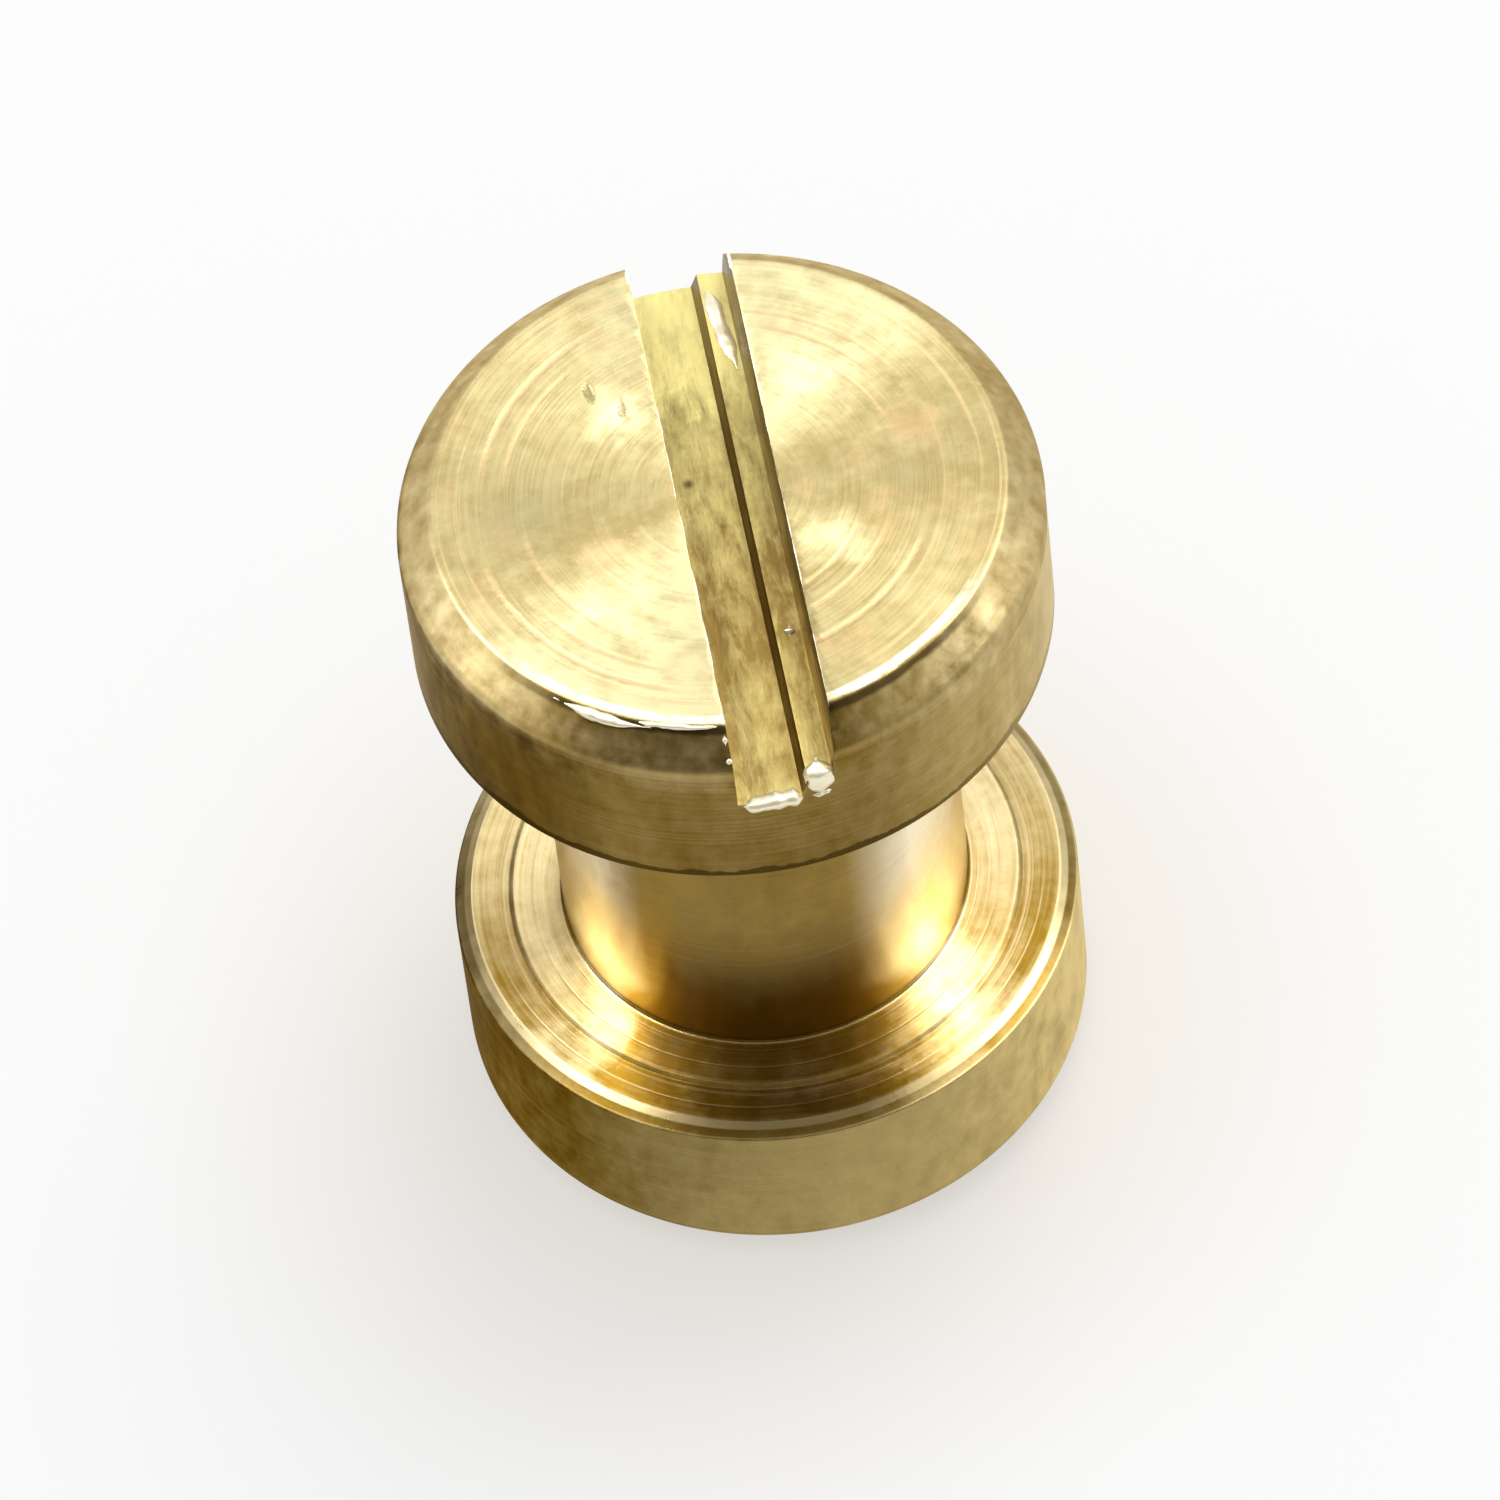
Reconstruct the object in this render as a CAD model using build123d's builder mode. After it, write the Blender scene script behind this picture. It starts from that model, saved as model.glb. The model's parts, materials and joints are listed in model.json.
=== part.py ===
"""Brass binding barrel screw, 10 mm heads, 7 mm grip.

Two turned pieces. The barrel post is a plain round head with a tubular post that is
drilled and tapped from its open end. The slotted screw has a round head with a sawn
driver slot and a short threaded shank that screws into the post.

Frame: millimetres, +Z along the screw's axis, origin at the centre of the plain head's
outer face, so the closed screw stands on Z = 0 with its slot on top. The slot runs
along Y.
"""

import os
from math import radians, tan

from build123d import *

os.makedirs("parts", exist_ok=True)

# ---------------------------------------------------------------- driving sizes
# Heads
head_dia = 10.0  # both heads
plain_head_thk = 3.5
slotted_head_thk = 3.3
face_chamfer = 0.55  # 45 degree chamfer round each outer face
rim_bevel_width = 0.27  # shallow bevel round each inner face
rim_bevel_drop = 0.14
ring_dia = 8.1  # edge of the raised seat ring that the facing tool leaves
ring_drop = 0.06  # the inner face is this much lower outside the ring

# Barrel
barrel_dia = 6.5
grip_length = 7.0  # between the two inner faces when closed
barrel_end_chamfer = 0.2
barrel_foot_fillet = 0.15

# Thread, M5 x 0.8. The solids carry it as a plain cylinder on the pitch line.
thread_pitch_dia = 4.48
thread_gap = 0.05  # radial gap between screw and bore
bore_mouth_chamfer = 0.35
bore_depth = 7.0  # full diameter, from the barrel's open end
drill_point_angle = 118.0

# Screw shank
shank_length = 5.5
tip_chamfer = 0.5
relief_length = 0.7  # undercut where the thread runs out below the head
relief_depth = 0.25

# Driver slot, sawn in two passes that leave a stepped floor
slot_deep_width = 1.1
slot_deep_depth = 1.35
slot_shallow_width = 0.5
slot_shallow_depth = 1.05
slot_offset = 0.15  # sawn a little off centre

# ---------------------------------------------------------------- derived sizes
head_r = head_dia / 2
ring_r = ring_dia / 2
barrel_r = barrel_dia / 2
shank_r = thread_pitch_dia / 2 - thread_gap / 2
bore_r = thread_pitch_dia / 2 + thread_gap / 2
relief_r = shank_r - relief_depth

seat_z = plain_head_thk  # the grip starts here
barrel_end_z = seat_z + grip_length  # the slotted head seats here
overall_length = barrel_end_z + slotted_head_thk
slot_width = slot_deep_width + slot_shallow_width


# ---------------------------------------------------------------- barrel post
# Head and barrel are one turned profile. The bore, its drill point and its
# countersunk mouth are cut from the open end.
with BuildPart() as barrel_post:
    with BuildSketch(Plane.XZ):
        with BuildLine():
            Polyline(
                (0, 0),
                (head_r - face_chamfer, 0),
                (head_r, face_chamfer),
                (head_r, seat_z - ring_drop - rim_bevel_drop),
                (head_r - rim_bevel_width, seat_z - ring_drop),
                (ring_r, seat_z - ring_drop),
                (ring_r, seat_z),
                (barrel_r, seat_z),
                (barrel_r, barrel_end_z - barrel_end_chamfer),
                (barrel_r - barrel_end_chamfer, barrel_end_z),
                (0, barrel_end_z),
                close=True,
            )
        make_face()
    revolve(axis=Axis.Z)

    foot = (
        barrel_post.edges()
        .filter_by(GeomType.CIRCLE)
        .filter_by(lambda e: abs(e.radius - barrel_r) < 1e-6)
        .sort_by(Axis.Z)[0]
    )
    fillet(foot, barrel_foot_fillet)

    with BuildSketch(Plane.XZ):
        point_length = bore_r / tan(radians(drill_point_angle / 2))
        with BuildLine():
            Polyline(
                (0, barrel_end_z),
                (bore_r + bore_mouth_chamfer, barrel_end_z),
                (bore_r, barrel_end_z - bore_mouth_chamfer),
                (bore_r, barrel_end_z - bore_depth),
                (0, barrel_end_z - bore_depth - point_length),
                close=True,
            )
        make_face()
    revolve(axis=Axis.Z, mode=Mode.SUBTRACT)
barrel_post.part.label = "barrel_post"


# ---------------------------------------------------------------- slotted screw
# Turned in the closed place: the head seats on the barrel's end and the shank
# hangs down inside the bore.
with BuildPart() as slotted_screw:
    with BuildSketch(Plane.XZ):
        tip_z = barrel_end_z - shank_length
        with BuildLine():
            Polyline(
                (0, tip_z),
                (shank_r - tip_chamfer, tip_z),
                (shank_r, tip_z + tip_chamfer),
                (shank_r, barrel_end_z - relief_length),
                (relief_r, barrel_end_z - relief_length + relief_depth),
                (relief_r, barrel_end_z),
                (ring_r, barrel_end_z),
                (ring_r, barrel_end_z + ring_drop),
                (head_r - rim_bevel_width, barrel_end_z + ring_drop),
                (head_r, barrel_end_z + ring_drop + rim_bevel_drop),
                (head_r, overall_length - face_chamfer),
                (head_r - face_chamfer, overall_length),
                (0, overall_length),
                close=True,
            )
        make_face()
    revolve(axis=Axis.Z)

    # Two saw passes side by side, drawn as seen along the slot.
    with BuildSketch(Plane.XZ):
        slot_left = slot_offset - slot_width / 2
        with Locations((slot_left, overall_length)):
            Rectangle(slot_deep_width, slot_deep_depth, align=(Align.MIN, Align.MAX))
        with Locations((slot_left + slot_width, overall_length)):
            Rectangle(
                slot_shallow_width, slot_shallow_depth, align=(Align.MAX, Align.MAX)
            )
    extrude(amount=head_r, both=True, mode=Mode.SUBTRACT)
slotted_screw.part.label = "slotted_screw"


# ---------------------------------------------------------------- output
export_step(barrel_post.part, "parts/barrel_post.step")
export_step(slotted_screw.part, "parts/slotted_screw.step")
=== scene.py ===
"""Dresses the binding barrel screw: two turned brass pieces with cut threads, a sawn
driver slot and the burrs that the tools left, on a plain pale floor."""

import json
import math
from typing import NamedTuple

import bmesh
import bpy
from bpy.props import FloatProperty, FloatVectorProperty, PointerProperty
from mathutils import Matrix, Vector


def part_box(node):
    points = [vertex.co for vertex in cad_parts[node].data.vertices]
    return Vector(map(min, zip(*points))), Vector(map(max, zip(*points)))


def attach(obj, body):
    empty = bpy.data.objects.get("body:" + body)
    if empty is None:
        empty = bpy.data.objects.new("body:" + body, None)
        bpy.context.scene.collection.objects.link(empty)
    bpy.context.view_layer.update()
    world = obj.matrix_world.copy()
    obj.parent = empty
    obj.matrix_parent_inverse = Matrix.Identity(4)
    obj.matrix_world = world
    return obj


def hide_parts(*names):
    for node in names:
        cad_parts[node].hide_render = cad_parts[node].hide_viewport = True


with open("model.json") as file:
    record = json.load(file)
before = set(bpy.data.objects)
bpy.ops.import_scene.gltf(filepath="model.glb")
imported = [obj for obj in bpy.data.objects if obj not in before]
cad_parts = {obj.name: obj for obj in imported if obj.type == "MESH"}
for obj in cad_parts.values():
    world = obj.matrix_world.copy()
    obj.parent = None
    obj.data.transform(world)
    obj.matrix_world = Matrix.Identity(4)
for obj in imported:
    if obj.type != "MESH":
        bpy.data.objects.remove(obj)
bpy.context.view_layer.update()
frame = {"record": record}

bl_info = {
    "name": "Binding Barrel Screw",
    "version": (1, 0, 0),
    "blender": (4, 5, 0),
    "location": "View3D > Sidebar > Barrel Screw",
    "description": "Builds a brass binding barrel screw and its stage, piece by piece",
    "category": "Object",
}

MM = 0.001

# Heights and widths that the frame settles.
BARREL_LOW, BARREL_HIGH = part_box("barrel_post")
SCREW_LOW, SCREW_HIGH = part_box("slotted_screw")
HEAD_RADIUS = BARREL_HIGH.y
BARREL_END = BARREL_HIGH.z
POST_RADIUS = next(
    m["dims"]["r_mm"] * MM for m in frame["record"]["mounts"] if m["name"] == "post"
)


# ------------------------------------------------------------------ settings
def length(name, description, millimetres):
    """A length property, shown in the sidebar in scene units."""
    return FloatProperty(
        name=name,
        description=description,
        default=millimetres * MM,
        min=0.0,
        precision=5,
        subtype="DISTANCE",
        unit="LENGTH",
    )


def colour(name, description, value):
    """A linear colour property without alpha."""
    return FloatVectorProperty(
        name=name,
        description=description,
        default=value,
        size=3,
        min=0.0,
        max=1.0,
        subtype="COLOR",
    )


class BarrelScrewSizes(bpy.types.PropertyGroup):
    """Sizes of the two turned pieces that the frame doesn't give."""

    plain_head: length("Plain Head", "Thickness of the plain head", 3.5)
    face_chamfer: length("Face Chamfer", "Chamfer round each outer face", 0.55)
    bevel_width: length("Bevel Width", "Width of the bevel round each inner face", 0.27)
    bevel_drop: length("Bevel Drop", "Height of that bevel", 0.14)
    ring_radius: length("Ring Radius", "Edge of the raised seat ring", 4.05)
    screw_bevel: length("Screw Bevel", "Height of the bevel under the slotted head", 0.04)
    ring_drop: length("Ring Drop", "Height of the seat ring", 0.06)
    ring_slope: length("Ring Slope", "Width of the slope at the ring's edge", 0.07)
    edge_break: length("Edge Break", "Radius left on turned edges", 0.035)
    face_break: length("Face Edge Break", "Radius rolled onto each outer face's edge", 0.10)
    side_break: length("Side Edge Break", "Radius between chamfer and side", 0.32)
    end_chamfer: length("Barrel End Chamfer", "Chamfer on the barrel's open end", 0.2)
    foot_fillet: length("Foot Fillet", "Fillet between barrel and head", 0.07)
    bore_radius: length("Bore Radius", "Crest of the inner thread", 2.1)
    bore_depth: length("Bore Depth", "Full-width depth from the open end", 7.0)
    mouth_chamfer: length("Mouth Chamfer", "Countersink at the bore's mouth", 0.5)
    pitch: length("Thread Pitch", "Rise of the thread in one turn", 0.8)
    thread_radius: length("Thread Radius", "Crest of the screw's thread", 2.46)
    thread_depth: length("Thread Depth", "Depth of the thread groove", 0.49)
    thread_gap: length("Thread Gap", "Gap between the two threads", 0.04)
    thread_run: length("Tapped Length", "Full inner thread below the mouth", 5.7)
    tip_chamfer: length("Tip Chamfer", "Chamfer on the shank's tip", 0.55)
    relief: length("Thread Relief", "Undercut below the head", 0.7)
    slot_deep_width: length("Deep Pass Width", "Width of the deeper saw pass", 1.1)
    slot_deep: length("Deep Pass Depth", "Depth of the deeper saw pass", 1.35)
    slot_shallow_width: length("Shallow Pass Width", "Width of the shallower pass", 0.5)
    slot_shallow: length("Shallow Pass Depth", "Depth of the shallower pass", 1.05)
    slot_offset: length("Slot Offset", "How far the slot lies off centre", 0.15)
    slot_step: length("Slot Step Slope", "Width of the leaning step between the passes", 0.11)
    slot_slope: length("Slot Wall Slope", "Width of the leaning right wall", 0.10)


class BrassFinish(bpy.types.PropertyGroup):
    """Colours and roughness of the bare brass; many come in pairs, a painted-shade and a
    painted-light copy of one brass.
    """

    # Also the lit colour of the slotted head's chamfer, shown by painted light round the axis.
    clean: colour("Clean Brass", "Freshly turned surface", (0.76, 0.63, 0.34))
    # The face's lit colour, shown by painted light round the axis.
    face: colour("Face", "Turned outer face of the slotted head", (0.61, 0.55, 0.305))
    # The plain finish's dark colour, and the face's painted-shade colour.
    dull: colour("Dull Brass", "Handled and browned surface", (0.335, 0.265, 0.112))
    pink: colour("Handled Brass", "Faint copper bloom from hands", (0.60, 0.42, 0.22))
    # Painted shade and painted light on the slotted head's side; the shaded one also colours
    # its chamfer and the outer ring of the inner face.
    side_dark: colour("Side, Dark", "Brown side of the slotted head", (0.25, 0.15, 0.016))
    side_light: colour("Side, Light", "Bright side of the slotted head", (0.62, 0.50, 0.24))
    # Painted shade and painted light on the plain head's side; the shaded one also colours a
    # bevel and one small spot on the face.
    post_dark: colour("Post Side, Dark", "Brown side of the plain head", (0.15, 0.09, 0.012))
    post_light: colour("Post Side, Light", "Bright side of the plain head", (0.64, 0.51, 0.22))
    # The barrel's and the inner face's dark colours: painted shade.
    barrel: colour("Barrel", "Smooth surface between the heads", (0.36, 0.25, 0.075))
    flange: colour("Inner Face, Dark", "Its brown parts, by the barrel", (0.33, 0.205, 0.032))
    # The inner face's and the barrel's light colours: painted highlights.
    inner: colour("Inner Face", "Bright turned face round the barrel", (0.80, 0.67, 0.37))
    bright: colour("Bright Barrel", "Barrel where it is most polished", (1.0, 0.96, 0.80))
    # Near-white: fresh torn metal, partly a painted glint on the burrs.
    torn: colour("Torn Brass", "Fresh burrs", (0.97, 0.90, 0.66))
    sawn: colour("Sawn Brass", "Floor of the slot", (0.78, 0.68, 0.27))
    # The walls' dark colour is painted shade in the slot.
    wall: colour("Slot Walls", "Dull leaning walls of the slot", (0.20, 0.135, 0.024))
    # Partly a brown film, partly painted shade along the slot's floor and walls.
    grime: colour("Slot Grime", "Brown film in the middle of the slot", (0.19, 0.125, 0.034))
    # Grazing tint where the bands' painted shade lies.
    glance_dark: colour("Glance, Dark", "Dark brass at a grazing look", (0.50, 0.38, 0.20))
    # Real soiling in specks and dents, and also painted shade beside the face's rim and under
    # the head's edge.
    dirt: colour("Dirt", "Specks held in the slot and in dents", (0.10, 0.065, 0.02))
    roughness: FloatProperty(
        name="Roughness",
        description="Roughness of the turned faces",
        default=0.34,
        min=0.0,
        max=1.0,
        subtype="FACTOR",
    )


class StudioSettings(bpy.types.PropertyGroup):
    """Floor and camera."""

    floor: colour("Floor", "Colour of the floor", (0.90, 0.90, 0.90))
    azimuth: FloatProperty(
        name="Camera Azimuth",
        description="Turn of the camera about the screw's axis",
        default=math.radians(-4.2),
        subtype="ANGLE",
    )
    elevation: FloatProperty(
        name="Camera Elevation",
        description="Height of the camera above the floor as an angle",
        default=math.radians(54.3),
        subtype="ANGLE",
    )
    roll: FloatProperty(
        name="Camera Roll",
        description="Lean of the camera",
        default=math.radians(7.1),
        subtype="ANGLE",
    )
    distance: length("Camera Distance", "From the camera to the screw", 197.0)
    lens: FloatProperty(
        name="Lens",
        description="Focal length of the camera in millimetres",
        default=300.0,
        min=10.0,
    )


# ------------------------------------------------------------------ node helpers
class Value:
    """An output of a node; sums and products of it add Math nodes to its tree."""

    def __init__(self, nodes, socket):
        self.nodes = nodes
        self.socket = socket

    def __add__(self, other):
        return self.nodes.math("ADD", self, other)

    def __sub__(self, other):
        return self.nodes.math("SUBTRACT", self, other)

    def __rsub__(self, other):
        return self.nodes.math("SUBTRACT", other, self)

    def __mul__(self, other):
        return self.nodes.math("MULTIPLY", self, other)

    def __truediv__(self, other):
        return self.nodes.math("DIVIDE", self, other)

    def __abs__(self):
        return self.nodes.math("ABSOLUTE", self)

    def times_plus(self, factor, offset, clamp=False):
        """This value times a factor, plus an offset."""
        return self.nodes.math("MULTIPLY_ADD", self, factor, offset, clamp)


class NodeBuilder:
    """Adds and links nodes in one tree."""

    def __init__(self, tree):
        self.tree = tree

    def add(self, kind, inputs=None, output=None, **settings):
        """Adds a node, sets its properties and fills its inputs. Gives the output of that
        name or number, or else the first one in use."""
        node = self.tree.nodes.new(kind)
        for key, value in settings.items():
            setattr(node, key, value)
        for key, value in (inputs or {}).items():
            if isinstance(value, Value):
                self.tree.links.new(value.socket, node.inputs[key])
            else:
                node.inputs[key].default_value = value
        if output is not None:
            return Value(self, node.outputs[output])
        return next((Value(self, socket) for socket in node.outputs if socket.enabled), None)

    def outputs(self, kind, inputs=None):
        """Adds a node and gives all its outputs by name."""
        node = self.add(kind, inputs).socket.node
        return {socket.name: Value(self, socket) for socket in node.outputs}

    def split(self, vector):
        """The three parts of a vector."""
        return self.outputs("ShaderNodeSeparateXYZ", {"Vector": vector}).values()

    def math(self, operation, a, b=None, c=None, clamp=False):
        """One Math node, in shader and geometry trees alike."""
        values = {i: v for i, v in enumerate((a, b, c)) if v is not None}
        return self.add("ShaderNodeMath", values, operation=operation, use_clamp=clamp)

    def vector(self, operation, a, b=None, scale=None):
        """One Vector Math node; Distance, Length and Dot Product give their number."""
        values = {i: v for i, v in enumerate((a, b)) if v is not None}
        if scale is not None:
            values["Scale"] = scale
        number = operation in {"LENGTH", "DISTANCE", "DOT_PRODUCT"}
        output = "Value" if number else "Vector"
        return self.add("ShaderNodeVectorMath", values, output, operation=operation)

    def stretched(self, place, *factors):
        """A place with its three parts scaled, each by its own factor."""
        return self.vector("MULTIPLY", place, factors)

    def noise(self, place, scale, detail, roughness=0.5, distortion=0.0, output="Fac"):
        """A noise at a place."""
        values = {"Vector": place, "Scale": scale, "Detail": detail}
        values |= {"Roughness": roughness, "Distortion": distortion}
        return self.add("ShaderNodeTexNoise", values, output)

    def ramp(self, value, low, high, to_low=0.0, to_high=1.0, smooth=True):
        """Maps a number from one range to another, held at both ends."""
        values = {"Value": value, "From Min": low, "From Max": high}
        values |= {"To Min": to_low, "To Max": to_high}
        kind = "SMOOTHSTEP" if smooth else "LINEAR"
        return self.add("ShaderNodeMapRange", values, "Result", interpolation_type=kind)

    def fall(self, value, low, high):
        """1 below a range, sinking to 0 at its end."""
        return self.ramp(value, low, high, 1.0, 0.0)

    def blend(self, factor, *colours):
        """Mixes two colours, each a value or three numbers."""
        a, b = (c if isinstance(c, Value) else opaque(c) for c in colours)
        values = {"Factor": factor, 6: a, 7: b}
        return self.add("ShaderNodeMix", values, 2, data_type="RGBA")

    def mix(self, factor, first, second):
        """Mixes two shaders."""
        return self.add("ShaderNodeMixShader", {0: factor, 1: first, 2: second})


def opaque(value):
    """A three-part colour with alpha 1."""
    return (*value, 1.0)


# ------------------------------------------------------------------ materials
FULL_TURN = 360.0  # degrees
SLOT_SPAN = 10.0  # millimetres
SIDE = 4.93  # millimetres from the axis to where a head's side begins
OUTSIDE = 6.0  # millimetres from the axis, beyond everything
GROOVE_FADE = 9  # degrees over which a tool mark starts and ends

# How ragged a spot is, how deep inside its full strength starts and where it ends, each
# as a share of its radius.
SOFT_SPOT = (1.6, 0.8, 0.5)
DENT = (1.2, 0.5, 0.4)
SPECK = (1.0, 0.4, 0.5)

# Painted highlight on the slotted face's rolled rim, and the share of the turn, at the front,
# where it and the painted shade line beside it lie.
RIM_SHINE = (1.0, 0.93, 0.72)
RIM_FRONT = ((-180, 0), (-62, 0), (-40, 1), (36, 1), (58, 0), (180, 0))
# How much the head's lower edge is darkened round the turn, partly soiling and partly painted
# shade, most at the front.
EDGE_DIRT_AND_SHADE = ((-180, 0.25), (-70, 0.5), (-40, 0.9), (20, 0.9), (60, 0.4), (180, 0.25))


def start_material(name):
    """An empty material, and the builder for its nodes."""
    material = bpy.data.materials.new(name)
    material.use_nodes = True
    material.node_tree.nodes.clear()
    return material, NodeBuilder(material.node_tree)


def close_brass(nodes, colour, roughness, height, relief, **inputs):
    """The brass shader, with the height of its relief in millimetres."""
    inputs = {name.replace("_", " ").title(): value for name, value in inputs.items()}
    inputs.setdefault("Metallic", 1.0)
    bump = nodes.add("ShaderNodeBump", {"Height": height, "Distance": relief * MM})
    inputs |= {"Base Color": colour, "Roughness": roughness, "Normal": bump}
    shader = nodes.add("ShaderNodeBsdfPrincipled", inputs)
    nodes.add("ShaderNodeOutputMaterial", {"Surface": shader})


def millimetre_coordinates(nodes):
    """Object coordinates in millimetres, and the distance from the screw's axis."""
    place = nodes.add("ShaderNodeTexCoord", output="Object")
    place = nodes.vector("SCALE", place, scale=1.0 / MM)
    x, y, z = nodes.split(place)
    return place, x, y, z, nodes.math("SQRT", x * x + y * y)


def zone(nodes, radius, z, spans):
    """1 inside a band of radius and height given in millimetres, soft at its edges."""
    r_low, r_high, z_low, z_high, soft = spans
    inside = nodes.ramp(radius, r_low - soft, r_low + soft)
    inside *= nodes.fall(radius, r_high - soft, r_high + soft)
    inside *= nodes.ramp(z, z_low - soft, z_low + soft)
    return inside * nodes.fall(z, z_high - soft, z_high + soft)


def tone_over(nodes, value, span, stops):
    """A level that changes with a value over a span about zero, from stops of (value,
    level): degrees round the axis, or millimetres along the slot."""
    tone = nodes.add("ShaderNodeValToRGB", {"Fac": value.times_plus(1.0 / span, 0.5)})
    elements = tone.socket.node.color_ramp.elements
    for i, (at, level) in enumerate(stops):
        spot = elements[i] if i < 2 else elements.new(1.0)
        spot.position = at / span + 0.5
        spot.color = (level, level, level, 1.0)
    return tone


def ragged_spot(nodes, noise, distance, size, shape, strength):
    """A spot with an uneven edge, from the distance to its middle."""
    ragged, core, edge = shape
    reach = noise.times_plus(-size * ragged, distance)
    return nodes.ramp(reach, -size * core, size * edge, strength, 0.0)


class Band(NamedTuple):
    """A turned surface of its own: where it lies, its two colours, a painted-shade and a
    painted-light copy of its brass, how much of the light one shows round the axis (0
    degrees at -Y, positive towards +X) as painted light and shade, the strength of its
    tool rings, blotches and smudges, its roughness, the strength of its copper bloom, its
    lighter tint at a grazing look, which follows the same painted light, the heights over
    which painted shade lowers its level and by how much, and how far the edges of its
    tones wander."""

    spans: tuple
    dark: tuple
    light: tuple
    share: tuple
    rings: float
    blotches: float
    smudges: float = 0.15
    roughness: float = 0.34
    copper: float = 1.0
    glance: tuple = (0.90, 0.83, 0.68)
    darkens: tuple = ()
    wander: float = 1.0


def turned_brass(
    name, finish, bands, grain=0.9, marks=(), grooves=(), stains_and_painted_light=(), rim=None, under_edge=None
):
    """Bare brass with the fine rings that a lathe tool leaves, handled and smudged, with
    painted light and shade from its bands and spots.

    grain is how far the tool rings spread a highlight across them. marks are small dents,
    each (place, radius, stretch along Y). grooves are single tool marks, each (radius,
    width, first and last degrees, depth). stains are soft spots, some in the metal's own
    colour, others painted highlights and painted shade, each (place, radius, colour,
    strength). rim is the radius of a face's rolled front edge, which gets a painted
    highlight and a painted shade line beside it at the front, and under_edge the height
    below which the head's side is darkened, partly soiling and partly painted shade, most
    at the front. All sizes are in millimetres."""
    material, nodes = start_material(name)
    place, x, y, z, radius = millimetre_coordinates(nodes)
    degrees = nodes.math("ARCTAN2", x, y * -1.0) * (180.0 / math.pi)

    # Rings run round the axis: on a face they follow the radius, on a side the height.
    along = radius + z * 1.37
    fine = nodes.add(
        "ShaderNodeTexNoise",
        {"W": along, "Scale": 9.0, "Detail": 3.0, "Roughness": 0.65},
        noise_dimensions="1D",
    )
    # Arcs are rings that come and go with the angle.
    turn = nodes.vector("NORMALIZE", nodes.stretched(place, 1.0, 1.0, 0.0))
    turn = nodes.vector("SCALE", turn, scale=1.1)
    lift = nodes.add("ShaderNodeCombineXYZ", {"Z": along * 6.0})
    arcs = nodes.noise(nodes.vector("ADD", turn, lift), 1.0, 3.0, 0.6)
    smudge = nodes.noise(place, 0.55, 4.0, 0.6, 0.5)
    bloom = nodes.noise(nodes.vector("ADD", place, (5.3, 9.1, 2.2)), 0.95, 5.0, 0.65)
    mottle = nodes.noise(place, 3.4, 3.0, 0.6)
    # Blotches lie flat on the faces and run down the sides.
    blotch = nodes.noise(nodes.stretched(place, 1.0, 1.0, 0.5), 2.3, 4.0, 0.6, 0.15)

    # The plain finish, then each band's own over it, with painted light and shade round the
    # axis.
    drift = bloom.times_plus(28.0, -14.0)
    ring_tone = (arcs * 1.2 + fine * 0.8).times_plus(1.5, -1.5)
    smudge_tone = smudge.times_plus(2.0, -1.0)
    blotch_tone = blotch.times_plus(4.0, -2.0) + mottle.times_plus(1.6, -0.8)
    plain = ring_tone.times_plus(0.30, 0.6)
    plain = blotch_tone.times_plus(0.15, plain)
    plain = smudge_tone.times_plus(-0.15, plain, clamp=True)
    colour = nodes.blend(plain, finish.dull, finish.clean)
    rough = finish.roughness
    glance = finish.glance_dark
    copper = None
    for band in bands:
        inside = zone(nodes, radius, z, band.spans)
        # Painted light and shade: round the axis the band moves between its shaded and its lit
        # colour, and its grazing tint follows.
        angle = drift.times_plus(band.wander, degrees)
        level = tone_over(nodes, angle, FULL_TURN, band.share)
        glancing = nodes.blend(level, finish.glance_dark, band.glance)
        glance = nodes.blend(inside, glance, glancing)
        uneven = blotch_tone.times_plus(band.blotches, ring_tone * band.rings)
        uneven = smudge_tone.times_plus(-band.smudges, uneven)
        # Painted shade, full below the lower height and gone above the higher one.
        if band.darkens:
            low, high, amount = band.darkens
            level -= nodes.ramp(z, low, high, amount, 0.0)
        # The darker it is, the less it is uneven.
        gain = level.times_plus(0.6, 0.4)
        level = uneven.times_plus(gain, level, clamp=True)
        colour = nodes.blend(inside, colour, nodes.blend(level, band.dark, band.light))
        change = nodes.math("SUBTRACT", band.roughness, rough)
        rough = change.times_plus(inside, rough)
        pinker = inside * (level.times_plus(-0.7, 0.9) * band.copper)
        copper = nodes.math("MAXIMUM", copper, pinker) if copper else pinker
    copper *= nodes.ramp(bloom, 0.50, 0.70)
    copper *= nodes.ramp(radius, 4.3, 4.5, 0.8, 0.1)
    colour = nodes.blend(copper, colour, finish.pink)
    # Thin brown arcs where the tool dragged.
    drag = nodes.ramp(fine, 0.55, 0.64) * nodes.ramp(arcs, 0.42, 0.60)
    drag *= nodes.ramp(radius, 4.3, 4.5, 0.5, 0.2)
    drag *= nodes.ramp(radius, 3.2, 3.4, 0.0, 1.0)
    colour = nodes.blend(drag, colour, finish.pink)

    # Soft spots, some in the metal's own colour, others painted highlights and painted shade.
    for middle, size, spot_tone, strength in stains_and_painted_light:
        distance = nodes.vector("DISTANCE", place, middle)
        spot = ragged_spot(nodes, blotch, distance, size, SOFT_SPOT, strength)
        colour = nodes.blend(spot, colour, spot_tone)

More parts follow.
